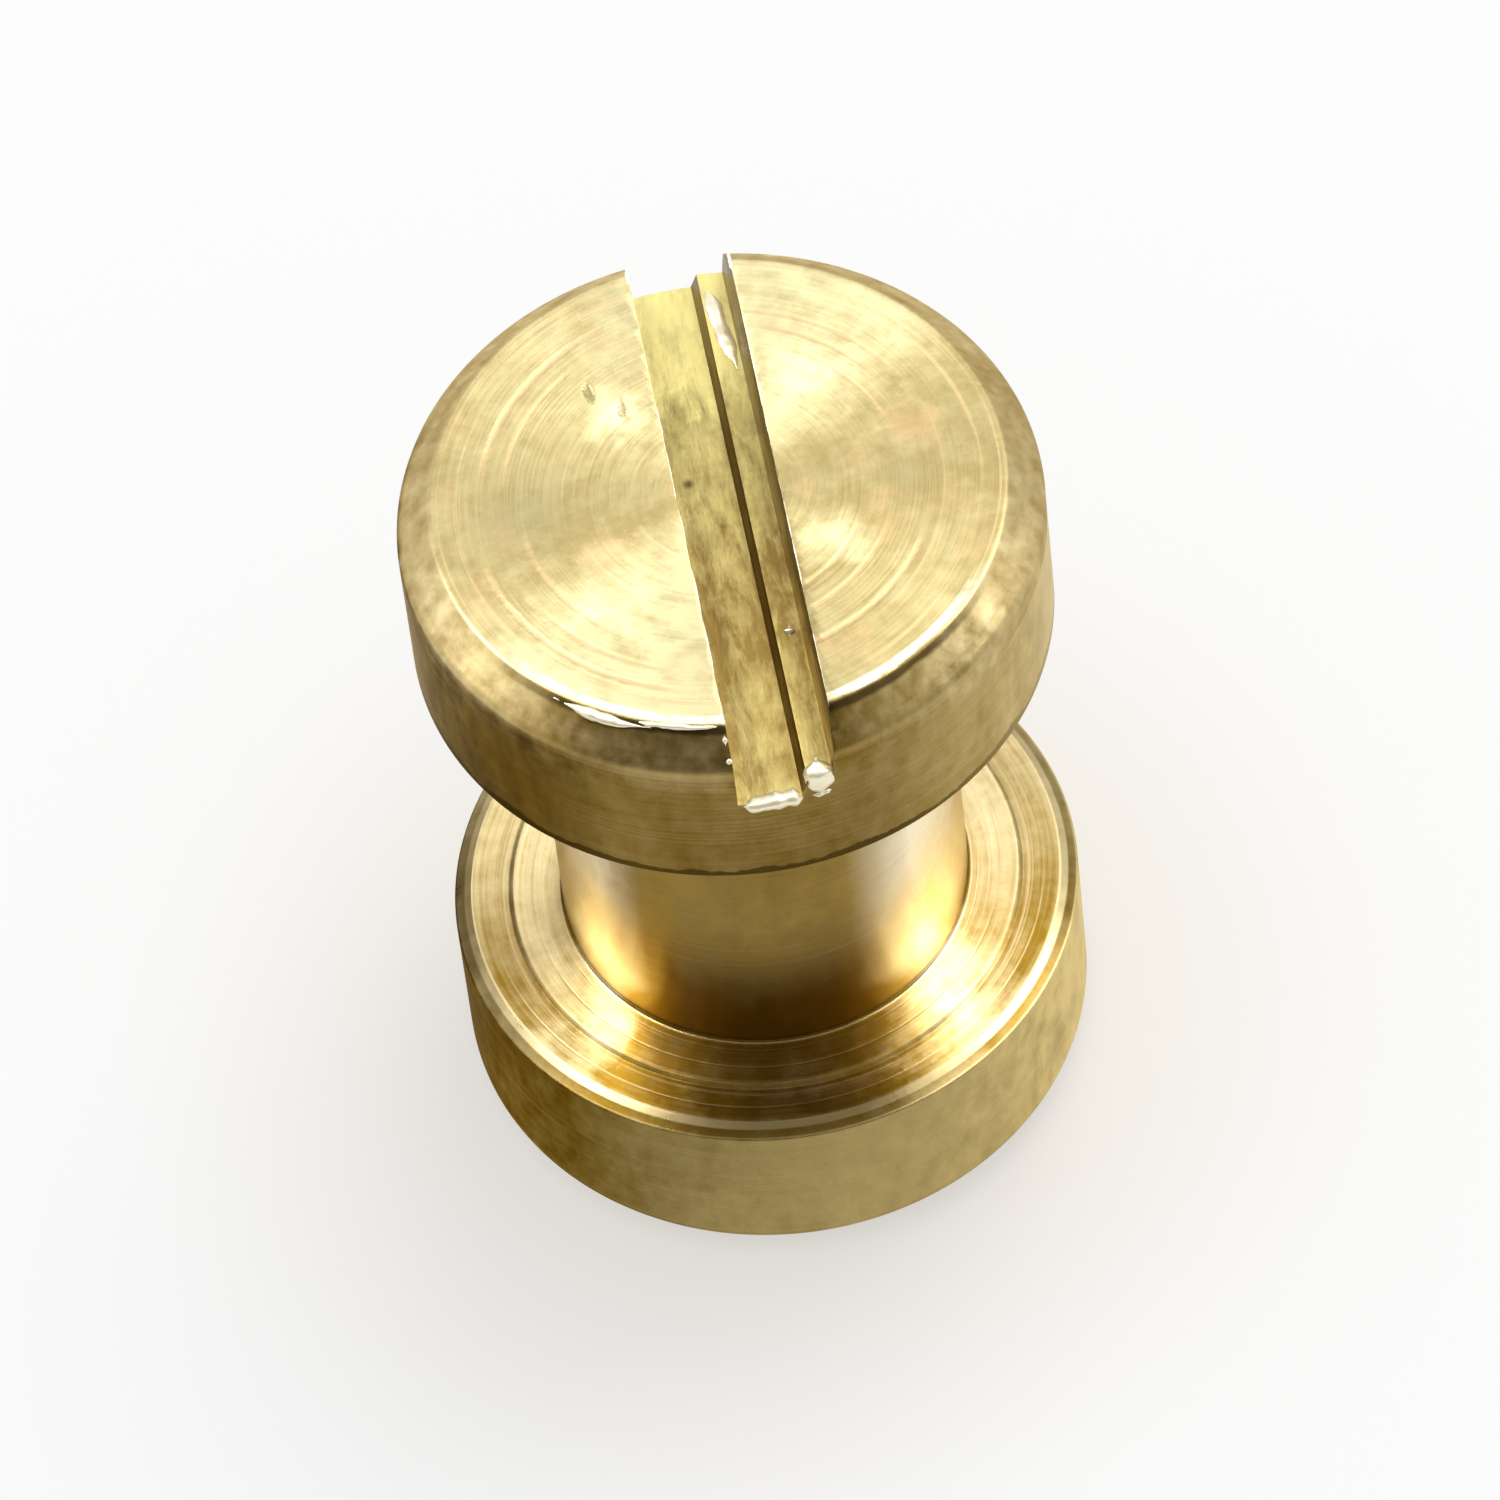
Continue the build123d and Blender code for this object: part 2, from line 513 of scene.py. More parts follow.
    # Painted highlight on the rolled rim at the front, and a painted shade line just outside
    # it.
    if rim is not None:
        front = tone_over(nodes, degrees, FULL_TURN, RIM_FRONT)
        roll = nodes.fall(abs(radius - (rim - 0.11)), 0.03, 0.10)
        roll *= nodes.ramp(mottle, 0.3, 0.6, 0.3, 1.0)
        colour = nodes.blend(roll * front, colour, RIM_SHINE)
        crease_shade = abs(radius - bloom.times_plus(0.10, rim - 0.005))
        crease_shade = nodes.fall(crease_shade, 0.035, 0.09)
        colour = nodes.blend(crease_shade * front * 0.95, colour, finish.dirt)
    # The head's side darkened below its lower edge, partly soiling and partly painted shade,
    # most at the front.
    if under_edge is not None:
        ragged = bloom.times_plus(0.60, under_edge - 0.22)
        grime = nodes.fall(z - ragged, -0.03, 0.03)
        grime *= tone_over(nodes, degrees, FULL_TURN, EDGE_DIRT_AND_SHADE)
        grime *= zone(nodes, radius, z, (SIDE, OUTSIDE, -1.0, 15.0, 0.04))
        colour = nodes.blend(grime, colour, finish.dirt)

    rings = arcs.times_plus(1.5, fine * 0.8)
    rings *= nodes.ramp(rough, 0.2, 0.34, 0.3, 1.2, smooth=False)
    height = rings + mottle * nodes.ramp(rough, 0.24, 0.34, 0.05, 1.0)
    dent = None
    for middle, size, stretch in marks:
        offset = nodes.vector("SUBTRACT", place, middle)
        offset = nodes.stretched(offset, 1.0, 1.0 / stretch, 1.0)
        pit = ragged_spot(nodes, mottle, nodes.vector("LENGTH", offset), size, DENT, 1.0)
        dent = nodes.math("MAXIMUM", dent, pit) if dent else pit
    if dent:
        height -= dent * 5.0
        colour = nodes.blend(dent * 0.55, colour, finish.dirt)

    uneven = degrees + drift
    for at, width, first, last, depth in grooves:
        reach = mottle.times_plus(width, abs(radius - at))
        groove = nodes.fall(reach, width * 0.5, width * 1.5)
        groove *= nodes.ramp(uneven, first - GROOVE_FADE, first + GROOVE_FADE)
        groove *= nodes.fall(uneven, last - GROOVE_FADE, last + GROOVE_FADE)
        height = groove.times_plus(-1.6 * depth, height)
        colour = nodes.blend(groove * depth, colour, finish.pink)

    around = nodes.vector("CROSS_PRODUCT", (0.0, 0.0, 1.0), place)
    close_brass(
        nodes,
        colour,
        blotch_tone.times_plus(0.05, rough),
        height,
        relief=0.0045,
        specular_tint=glance,
        anisotropic=grain,
        anisotropic_rotation=0.25,
        tangent=nodes.vector("NORMALIZE", around),
    )
    return material


def sawn_brass(name, fresh, dull, dirt, share, rough, specks=()):
    """Brass cut by a slitting saw: lines run along the slot, darker in patches.

    share gives how fresh the cut looks along the slot, as (y in millimetres, level): partly a
    brown film, partly painted light and shade. specks are dark flecks, each (place, radius) in
    millimetres."""
    material, nodes = start_material(name)
    place, x, y, z, radius = millimetre_coordinates(nodes)
    lines = nodes.noise(nodes.stretched(place, 7.0, 1.6, 7.0), 1.0, 4.0, 0.6)
    patch = nodes.noise(nodes.stretched(place, 1.3, 0.45, 1.3), 2.2, 5.0, 0.7, 0.4)
    chatter = nodes.noise(nodes.stretched(place, 1.6, 7.0, 1.6), 1.0, 3.0)
    # Where the fresh and the darker stretches meet, the edge wanders along Y.
    level = tone_over(nodes, patch.times_plus(1.4, y + -0.7), SLOT_SPAN, share)
    level += patch.times_plus(1.1, -0.55)
    level += lines.times_plus(0.7, -0.35)
    level = nodes.math("ADD", level, chatter.times_plus(0.15, -0.075), clamp=True)
    colour = nodes.blend(level, dull, fresh)
    for middle, size in specks:
        distance = nodes.vector("DISTANCE", place, middle)
        speck = ragged_spot(nodes, patch, distance, size, SPECK, 0.9)
        colour = nodes.blend(speck, colour, dirt)
    close_brass(
        nodes,
        colour,
        nodes.ramp(lines, 0.3, 0.7, rough - 0.07, rough + 0.08),
        patch.times_plus(1.2, lines + chatter * 0.5),
        relief=0.008,
        anisotropic=0.2,
        tangent=(0.0, 1.0, 0.0),
    )
    return material


def burr_brass(name, finish):
    """Thin torn edges of fresh brass, crumpled; their near-white colour is partly a painted
    glint.
    """
    material, nodes = start_material(name)
    crumple = nodes.noise(millimetre_coordinates(nodes)[0], 7.0, 3.0)
    colour = nodes.blend(nodes.ramp(crumple, 0.22, 0.40), finish.sawn, finish.torn)
    close_brass(nodes, colour, 0.33, crumple, relief=0.006, metallic=0.5)
    return material


# ------------------------------------------------------------------ turned meshes
NEARLY_STRAIGHT = math.radians(88)
MERGE = 0.0005 * MM


def corner_arc(before, corner, after, radius, steps=4):
    """The points of a fillet between two straight runs, or the bare corner."""
    corner = Vector(corner)
    to_before = Vector(before) - corner
    to_after = Vector(after) - corner
    half = to_before.angle(to_after) / 2
    reach = radius / math.tan(half) if radius else 0.0
    reach = min(reach, to_before.length * 0.45, to_after.length * 0.45)
    if reach <= 0.0 or half > NEARLY_STRAIGHT:
        return [corner]
    start = corner + to_before.normalized() * reach
    finish = corner + to_after.normalized() * reach
    centre = corner + (to_before.normalized() + to_after.normalized()).normalized() * (
        reach / math.cos(half)
    )
    arm_a, arm_b = start - centre, finish - centre
    swing = arm_a.angle_signed(arm_b)
    turns = (Matrix.Rotation(-swing * i / steps, 2) for i in range(steps + 1))
    return [centre + turn @ arm_a for turn in turns]


def turned_profile(corners, longest):
    """A profile of (radius, height) points from corners (radius, height, fillet), with
    rows no further apart than longest and one row close to each end of a straight run."""
    rows = []
    for i, (r, z, fillet) in enumerate(corners):
        if 0 < i < len(corners) - 1:
            before, after = corners[i - 1][:2], corners[i + 1][:2]
            arc = corner_arc(before, (r, z), after, fillet)
        else:
            arc = [Vector((r, z))]
        if rows:
            rows += straight_rows(rows[-1], arc[0], longest)
        rows += arc
    return rows


def straight_rows(start, finish, longest, guard=0.02 * MM):
    """Rows inside a straight run: a guard near each end, then even steps."""
    run = finish - start
    if run.length < 3 * guard:
        return []
    direction = run.normalized()
    inner = [start + direction * guard]
    count = max(1, math.ceil((run.length - 2 * guard) / longest))
    for i in range(1, count):
        inner.append(start + direction * (guard + (run.length - 2 * guard) * i / count))
    inner.append(finish - direction * guard)
    return inner


def turned_mesh(name, rows, sides):
    """A closed mesh turned about Z; the first and last rows lie on the axis."""
    verts = [(0.0, 0.0, rows[0].y)]
    inner = rows[1:-1]
    for row in inner:
        for i in range(sides):
            angle = 2 * math.pi * i / sides
            verts.append((row.x * math.cos(angle), row.x * math.sin(angle), row.y))
    verts.append((0.0, 0.0, rows[-1].y))
    last = len(verts) - 1
    faces = []
    for i in range(sides):
        j = (i + 1) % sides
        faces.append((0, 1 + j, 1 + i))
        for k in range(len(inner) - 1):
            a, b = 1 + k * sides, 1 + (k + 1) * sides
            faces.append((a + i, a + j, b + j, b + i))
        a = 1 + (len(inner) - 1) * sides
        faces.append((a + i, a + j, last))
    mesh = bpy.data.meshes.new(name)
    mesh.from_pydata(verts, [], faces)
    mesh.update()
    return mesh


def link_object(name, mesh, *materials):
    """An object at the origin in the scene."""
    thing = bpy.data.objects.new(name, mesh)
    bpy.context.scene.collection.objects.link(thing)
    for material in materials:
        mesh.materials.append(material)
    return thing


def settle(thing):
    """Turns what the modifiers make of an object into its own plain mesh."""
    bpy.context.view_layer.update()
    made = bpy.data.meshes.new_from_object(
        thing.evaluated_get(bpy.context.evaluated_depsgraph_get())
    )
    thing.modifiers.clear()
    old, thing.data = thing.data, made
    made.name = thing.name
    bpy.data.meshes.remove(old)
    return thing


def finish_surface(thing, sharp=40.0):
    """Outward normals, smooth shading and crisp edges past an angle in degrees."""
    made = bmesh.new()
    made.from_mesh(thing.data)
    bmesh.ops.remove_doubles(made, verts=made.verts, dist=MERGE)
    bmesh.ops.recalc_face_normals(made, faces=made.faces)
    made.to_mesh(thing.data)
    made.free()
    for face in thing.data.polygons:
        face.use_smooth = True
    thing.data.set_sharp_from_angle(angle=math.radians(sharp))


# ------------------------------------------------------------------ geometry trees
CREST_WAVE, ROOT_WAVE = 0.125, 0.832  # a 60 degree flank runs between the two
BURR_STEP = 0.02 * MM


def geometry_tree(name, **inputs):
    """A Geometry Nodes tree, its builder and its inputs, given as type=(title, ...)."""
    tree = bpy.data.node_groups.new(name, "GeometryNodeTree")
    add_socket = tree.interface.new_socket
    add_socket("Geometry", in_out="INPUT", socket_type="NodeSocketGeometry")
    for kind, titles in inputs.items():
        for title in titles:
            add_socket(title, in_out="INPUT", socket_type="NodeSocket" + kind)
    add_socket("Geometry", in_out="OUTPUT", socket_type="NodeSocketGeometry")
    nodes = NodeBuilder(tree)
    return tree, nodes, nodes.outputs("NodeGroupInput")


def close_tree(nodes, geometry, material=None):
    """Ends a tree in Realize Instances and Set Material."""
    real = nodes.add("GeometryNodeRealizeInstances", {"Geometry": geometry})
    if material is not None:
        real = nodes.add("GeometryNodeSetMaterial", {"Geometry": real, "Material": material})
    nodes.add("NodeGroupOutput", {"Geometry": real})


def apply_tree(thing, tree, **values):
    """Runs a tree on an object with the named inputs, and keeps the plain result."""
    modifier = thing.modifiers.new(tree.name, "NODES")
    modifier.node_group = tree
    for item in tree.interface.items_tree:
        if item.item_type == "SOCKET" and item.in_out == "INPUT":
            key = item.name.lower().replace(" ", "_")
            if key in values:
                modifier[item.identifier] = values.pop(key)
    if values:
        raise ValueError(f"{tree.name} has no inputs {sorted(values)}")
    return settle(thing)


def thread_tree():
    """Cuts a 60 degree thread into the turned surface between two heights.

    An outer thread pulls the surface in to the groove, an inner one pushes it out."""
    numbers = ("Pitch", "Crest Radius", "Depth", "Lowest", "Highest", "Run Out")
    tree, nodes, given = geometry_tree("Cut Thread", Float=numbers, Bool=("Inner Thread",))
    crest, lowest, inner = given["Crest Radius"], given["Lowest"], given["Inner Thread"]
    place = nodes.add("GeometryNodeInputPosition")
    x, y, z = nodes.split(place)
    radius = nodes.vector("LENGTH", nodes.stretched(place, 1.0, 1.0, 0.0))
    turn = nodes.math("ARCTAN2", y, x) / (2 * math.pi)
    phase = nodes.math("FRACT", z / given["Pitch"] - turn)
    wave = 1.0 - abs(phase.times_plus(2.0, -1.0))
    groove = nodes.ramp(wave, CREST_WAVE, ROOT_WAVE, smooth=False)
    run_out = nodes.ramp(z, lowest, lowest + given["Run Out"], 1.0, 0.0, smooth=False)
    groove = nodes.math("MAXIMUM", groove, run_out * inner)
    cut = crest - groove * given["Depth"]
    chosen = nodes.add(
        "GeometryNodeSwitch",
        {
            "Switch": inner,
            "False": nodes.math("MINIMUM", radius, cut),
            "True": nodes.math("MAXIMUM", radius, cut),
        },
        input_type="FLOAT",
    )
    ratio = chosen / radius
    scale = nodes.add("ShaderNodeCombineXYZ", {"X": ratio, "Y": ratio, "Z": 1.0})
    near = nodes.math("LESS_THAN", radius, crest * 1.08)
    off_axis = nodes.math("GREATER_THAN", radius, 0.2 * MM)
    above = nodes.math("GREATER_THAN", z, lowest)
    below = nodes.math("LESS_THAN", z, given["Highest"])
    area = near * off_axis * (above * below)
    moved = nodes.add(
        "GeometryNodeSetPosition",
        {
            "Geometry": given["Geometry"],
            "Selection": nodes.math("GREATER_THAN", area, 0.5),
            "Position": nodes.vector("MULTIPLY", place, scale),
        },
    )
    close_tree(nodes, moved)
    return tree


def burr_tree():
    """Grows a ragged bead of torn metal along a line of points."""
    numbers = ("Width", "Flatness", "Evenness", "Taper", "Raggedness", "Sway")
    tree, nodes, given = geometry_tree(
        "Grow Burr", Float=numbers, Int=("Seed",), Material=("Material",)
    )
    width, taper, ragged = given["Width"], given["Taper"], given["Raggedness"]
    line = nodes.add("GeometryNodeMeshToCurve", {"Mesh": given["Geometry"]})
    line = nodes.add(
        "GeometryNodeResampleCurve", {"Curve": line, "Length": BURR_STEP}, mode="LENGTH"
    )
    place = nodes.vector("SCALE", nodes.add("GeometryNodeInputPosition"), scale=1 / MM)
    shift = nodes.vector("SCALE", (7.3, 3.1, 5.7), scale=given["Seed"])
    place = nodes.vector("ADD", place, shift)
    torn = nodes.noise(place, ragged, 3.0, 0.65)
    part = nodes.add("GeometryNodeSplineParameter", output="Factor")
    ends = nodes.ramp(part, 0.0, taper) * nodes.fall(part, 1.0 - taper, 1.0)
    size = nodes.ramp(torn, 0.40, 0.62, given["Evenness"], 1.0) * ends
    size = nodes.math("MAXIMUM", size, 0.08)

    def crumple(geometry, scale, reach):
        """Pushes the points about by a noise, as far as reach."""
        noise = nodes.noise(place, scale, 1.0, output="Color")
        push = nodes.vector("SUBTRACT", noise, (0.5, 0.5, 0.5))
        push = nodes.vector("SCALE", push, scale=reach)
        return nodes.add("GeometryNodeSetPosition", {"Geometry": geometry, "Offset": push})

    line = crumple(line, ragged, given["Sway"])
    circle = {"Resolution": 10, "Radius": 1.0}
    ring = nodes.add("GeometryNodeCurvePrimitiveCircle", circle, "Curve")
    flat = nodes.add("ShaderNodeCombineXYZ", {"X": 1.0, "Y": given["Flatness"], "Z": 1.0})
    ring = nodes.add("GeometryNodeTransform", {"Geometry": ring, "Scale": flat})
    bead = nodes.add(
        "GeometryNodeCurveToMesh",
        {"Curve": line, "Profile Curve": ring, "Scale": size * width, "Fill Caps": True},
    )
    bead = crumple(bead, nodes.math("DIVIDE", 0.5 * MM, width), width * 0.45)
    close_tree(nodes, bead, given["Material"])
    return tree


# ------------------------------------------------------------------ pieces
ROW = 0.25 * MM
SIDES = 192
THREAD_ROWS = 20  # in one turn of the thread
THREAD_REACH = 2.75 * MM  # nothing wider than this carries a thread
RELIEF_SLOPE = 0.3 * MM
DRILL_HALF_ANGLE = math.radians(59)


def barrel_corners(sizes):
    """The barrel post's outline from the plain face's centre to the drill point."""
    inner = sizes.plain_head
    edge = sizes.edge_break
    bevel_in = HEAD_RADIUS - sizes.bevel_width
    bore_end = BARREL_END - sizes.bore_depth
    return [
        (0.0, BARREL_LOW.z, 0.0),
        (HEAD_RADIUS - sizes.face_chamfer, BARREL_LOW.z, sizes.face_break),
        (HEAD_RADIUS, BARREL_LOW.z + sizes.face_chamfer, sizes.side_break),
        (HEAD_RADIUS, inner - sizes.ring_drop - sizes.bevel_drop, edge),
        (bevel_in, inner - sizes.ring_drop, edge),
        (sizes.ring_radius + sizes.ring_slope, inner - sizes.ring_drop, edge),
        (sizes.ring_radius, inner, edge),
        (POST_RADIUS, inner, sizes.foot_fillet),
        (POST_RADIUS, BARREL_END - sizes.end_chamfer, edge),
        (POST_RADIUS - sizes.end_chamfer, BARREL_END, edge / 2),
        (sizes.bore_radius + sizes.mouth_chamfer, BARREL_END, edge / 2),
        (sizes.bore_radius, BARREL_END - sizes.mouth_chamfer, 0.0),
        (sizes.bore_radius, bore_end, edge),
        (0.0, bore_end - sizes.bore_radius / math.tan(DRILL_HALF_ANGLE), 0.0),
    ]


def screw_corners(sizes):
    """The slotted screw's outline from the shank's tip to the face's centre."""
    edge = sizes.edge_break
    crest = sizes.thread_radius
    root = crest - sizes.thread_depth
    bevel_in = HEAD_RADIUS - sizes.bevel_width
    ring_z = BARREL_END + sizes.ring_drop
    return [
        (0.0, SCREW_LOW.z, 0.0),
        (crest - sizes.tip_chamfer, SCREW_LOW.z, edge),
        (crest, SCREW_LOW.z + sizes.tip_chamfer, 0.0),
        (crest, BARREL_END - sizes.relief, edge),
        (root, BARREL_END - sizes.relief + RELIEF_SLOPE, edge),
        (root, BARREL_END, edge),
        (sizes.ring_radius, BARREL_END, edge),
        (sizes.ring_radius + sizes.ring_slope, ring_z, edge),
        (bevel_in, ring_z, edge),
        (HEAD_RADIUS, ring_z + sizes.screw_bevel, edge),
        (HEAD_RADIUS, SCREW_HIGH.z - sizes.face_chamfer, sizes.side_break),
        (HEAD_RADIUS - sizes.face_chamfer, SCREW_HIGH.z, sizes.face_break),
        (0.0, SCREW_HIGH.z, 0.0),
    ]


def threaded_rows(corners, low, high, pitch):
    """The profile's rows, with rows close enough to carry a thread between two heights."""
    rows = turned_profile(corners, ROW)
    dense = [rows[0]]
    step = pitch / THREAD_ROWS
    for row in rows[1:]:
        previous = dense[-1]
        gap = row - previous
        both = min(previous.y, row.y) >= low - ROW and max(previous.y, row.y) <= high + ROW
        narrow = max(previous.x, row.x) < THREAD_REACH
        if both and narrow and abs(gap.y) > step:
            count = math.ceil(abs(gap.y) / step)
            dense += [previous + gap * i / count for i in range(1, count)]
        dense.append(row)
    return dense


def slot_cutter(sizes, floor, wall):
    """The two saw passes as one stepped bar that runs past the head."""
    width = sizes.slot_deep_width + sizes.slot_shallow_width
    left = sizes.slot_offset - width / 2
    right = left + width
    step = left + sizes.slot_deep_width
    top = SCREW_HIGH.z
    lean = sizes.slot_slope
    section = [
        (left, top + 1 * MM),
        (left, top - sizes.slot_deep),
        (step - sizes.slot_step, top - sizes.slot_deep),
        (step, top - sizes.slot_shallow),
        (right - lean, top - sizes.slot_shallow),
        (right, top),
        (right, top + 1 * MM),
    ]
    floors = {1, 3}
    reach = HEAD_RADIUS + 1 * MM
    made = bmesh.new()
    near, far = (
        [made.verts.new((x, y, z)) for x, z in section] for y in (-reach, reach)
    )
    for i in range(len(section)):
        j = (i + 1) % len(section)
        face = made.faces.new((near[i], near[j], far[j], far[i]))
        face.material_index = 0 if i in floors else 1
    made.faces.new(near)
    made.faces.new(far)
    bmesh.ops.recalc_face_normals(made, faces=made.faces)
    mesh = bpy.data.meshes.new("slot_cutter")
    made.to_mesh(mesh)
    made.free()
    return link_object("slot_cutter", mesh, floor, wall)


def saw_slot(thing, cutter):
    """Cuts the slot, whose faces keep the cutter's materials."""
    saw = thing.modifiers.new("saw", "BOOLEAN")
    saw.operation = "DIFFERENCE"
    saw.solver = "EXACT"
    saw.material_mode = "TRANSFER"
    saw.object = cutter
    settle(thing)
    bpy.data.objects.remove(cutter)


def break_slot_edges(thing, width):
    """Rounds the edges where the slot meets the turned surface."""
    made = bmesh.new()
    made.from_mesh(thing.data)
    weight = made.edges.layers.float.new("bevel_weight_edge")
    for edge in made.edges:
        kinds = {face.material_index for face in edge.link_faces}
        edge[weight] = 1.0 if len(kinds) > 1 else 0.0
    made.to_mesh(thing.data)
    made.free()
    bevel = thing.modifiers.new("slot_edges", "BEVEL")
    bevel.limit_method = "WEIGHT"
    bevel.width = width
    bevel.segments = 2
    bevel.use_clamp_overlap = True
    settle(thing)


def barrel_bands(finish, inner):
    """The post's surfaces, with painted light and shade round the axis, from the height of the
    plain head's inner face.
    """
    side = Band(
        (SIDE, OUTSIDE, 0.4, inner - 0.1, 0.04),
        finish.post_dark,
        finish.post_light,
        (
            (-180, 0.6), (-100, 0.0), (-50, 0.08), (-20, 0.58), (5, 0.82), (40, 0.80),
            (75, 1.0), (180, 0.6),
        ),
        rings=0.10, smudges=0.12, blotches=0.25,
    )
    seat_ring = Band(
        (3.3, 4.08, inner - 0.3, inner + 0.1, 0.03),
        finish.flange,
        finish.inner,
        (
            (-180, 0.6), (-130, 0.9), (-104, 0.8), (-80, 0.8), (-64, 0.6), (-57, 0.75),
            (-50, 0.75), (-44, 0.05), (-35, 0.0), (20, 0.0), (36, 1.0), (50, 0.85),
            (60, 0.3), (78, 0.6), (98, 0.8), (130, 0.9), (180, 0.6),
        ),
        rings=0.6, blotches=0.30, copper=0.6,
        glance=(0.85, 0.78, 0.60),
    )
    outer_ring = seat_ring._replace(
        spans=(4.08, 4.72, inner - 0.3, inner + 0.1, 0.03),
        dark=finish.side_dark,
        share=(
            (-180, 0.6), (-104, 0.5), (-78, 0.15), (-64, 0.12), (-57, 0.4), (-50, 0.5),
            (-44, 0.02), (-35, 0.0), (20, 0.0), (36, 0.9), (50, 0.35), (60, 0.02),
            (98, 0.4), (180, 0.6),
        ),
    )
    bevel = Band(
        (4.70, 4.84, inner - 0.3, inner + 0.1, 0.02),
        finish.post_dark,
        finish.inner,
        (
            (-180, 0.6), (-66, 0.9), (-48, 0.8), (-30, 0.45), (-12, 0.3), (12, 0.2),
            (24, 0.5), (45, 0.8), (66, 0.6), (180, 0.6),
        ),
        rings=0.3, smudges=0.1, roughness=0.30, blotches=0.10,
    )
    bevel_edge = bevel._replace(
        spans=(4.84, 4.97, inner - 0.3, inner + 0.1, 0.02),
        share=(
            (-180, 0.6), (-66, 0.3), (-48, 0.05), (-36, 0.0), (12, 0.05), (24, 0.25),
            (36, 0.05), (66, 0.05), (180, 0.6),
        ),
        smudges=0.2, blotches=0.15,
    )
    # The barrel's dark middle is painted shade and its lit sectors painted highlights, with
    # painted shade growing towards its foot.
    barrel = Band(
        (-1.0, 3.3, inner - 0.1, 11.0, 0.05),
        finish.barrel,
        finish.bright,
        (
            (-180, 0.2), (-92, 0.25), (-72, 0.9), (-58, 1.0), (-50, 0.5), (-42, 0.05),
            (-36, 0.0), (18, 0.0), (29, 0.40), (42, 1.0), (58, 0.9), (84, 0.25), (180, 0.2),
        ),
        rings=0.10, smudges=0.06, roughness=0.21, blotches=0.04, copper=0.0,
        glance=(0.97, 0.86, 0.58),
        darkens=(inner + 0.1, inner + 0.9, 0.6),
        wander=0.2,
    )
    return side, seat_ring, outer_ring, bevel, bevel_edge, barrel


def screw_bands(finish, face, top):
    """The slotted head's surfaces, with painted light and shade round the axis, from its
    face's radius and height.
    """
    return (
        Band(
            (-1.0, face, top - 0.2, top + 1.0, 0.02),
            finish.dull,
            finish.face,
            (
                (-180, 0.65), (-145, 0.3), (-122, 0.15), (-72, 0.12), (-55, 0.5),
                (-20, 1.0), (5, 0.4), (30, 0.15), (58, 0.2), (68, 0.05), (112, 0.08),
                (128, 0.65), (160, 1.0), (180, 0.65),
            ),
            rings=0.45, smudges=0.7, roughness=0.43, blotches=0.38, copper=0.6,
        ),
        Band(
            (SIDE, OUTSIDE, BARREL_END / MM, top + 1.0, 0.03),
            finish.side_dark,
            finish.side_light,
            (
                (-180, 0.6), (-100, 0.8), (-68, 0.6), (-52, 0.38), (-38, 0.32),
                (-24, 0.22), (0, 0.25), (30, 0.45), (70, 1.0), (180, 0.6),
            ),
            rings=0.24, blotches=0.28,
        ),
        Band(
            (face, OUTSIDE, top - 1.02, top + 1.0, 0.08),
            finish.side_dark,
            finish.clean,
            (
                (-180, 0.6), (-66, 0.55), (-48, 0.5), (-40, 0.15), (-31, 0.24), (-10, 0.3),
                (10, 0.12), (31, 0.38), (46, 0.68), (54, 0.55), (70, 0.5), (180, 0.6),
            ),
            rings=0.35, smudges=0.1, blotches=0.40,
        ),
    )


# Tool marks, each (radius, width, first and last degrees, depth).
FLANGE_GROOVES = (
    (3.42, 0.02, -75, 75, 0.30),
    (3.74, 0.03, -70, 60, 0.45),
    (4.46, 0.03, -75, 70, 0.45),
)
FACE_GROOVES = (
    (3.45, 0.08, 122, 166, 0.6),
    (3.18, 0.07, 126, 160, 0.5),
    (2.85, 0.07, 100, 150, 0.4),
    (3.66, 0.09, -152, -112, 1.0),
    (3.30, 0.07, -146, -112, 0.6),
    (3.80, 0.08, -74, -20, 1.0),
    (3.45, 0.10, -64, -24, 1.0),
    (3.05, 0.08, -80, -34, 0.5),
    (2.30, 0.07, 14, 58, 0.6),
    (2.72, 0.08, 20, 64, 0.6),
    (3.30, 0.08, 16, 60, 0.9),
)
# How freshly cut the slot's floor and walls look, as (y, level); on the floor partly a brown
# film and partly painted light and shade: darker at the front and middle, lightest at the back
# end.
FLOOR_SHARE = (
    (-5, 0.22), (-3.2, 0.14), (-2.2, 0.04), (-1.0, 0.06), (0.8, 0.36), (2.4, 0.45),
    (3.1, 1.0), (5, 1.0),
)
WALL_SHARE = ((-5, 0.8), (0, 0.5), (5, 0.8))
# Colours of spots on the slotted head: painted highlights, painted shade to the left and
# right, and an amber patch.
PAINTED_SHEEN = (0.84, 0.78, 0.46)
PAINTED_SHADE_LEFT = (0.30, 0.25, 0.125)
PAINTED_SHADE_RIGHT = (0.33, 0.27, 0.13)
AMBER = (0.50, 0.315, 0.045)


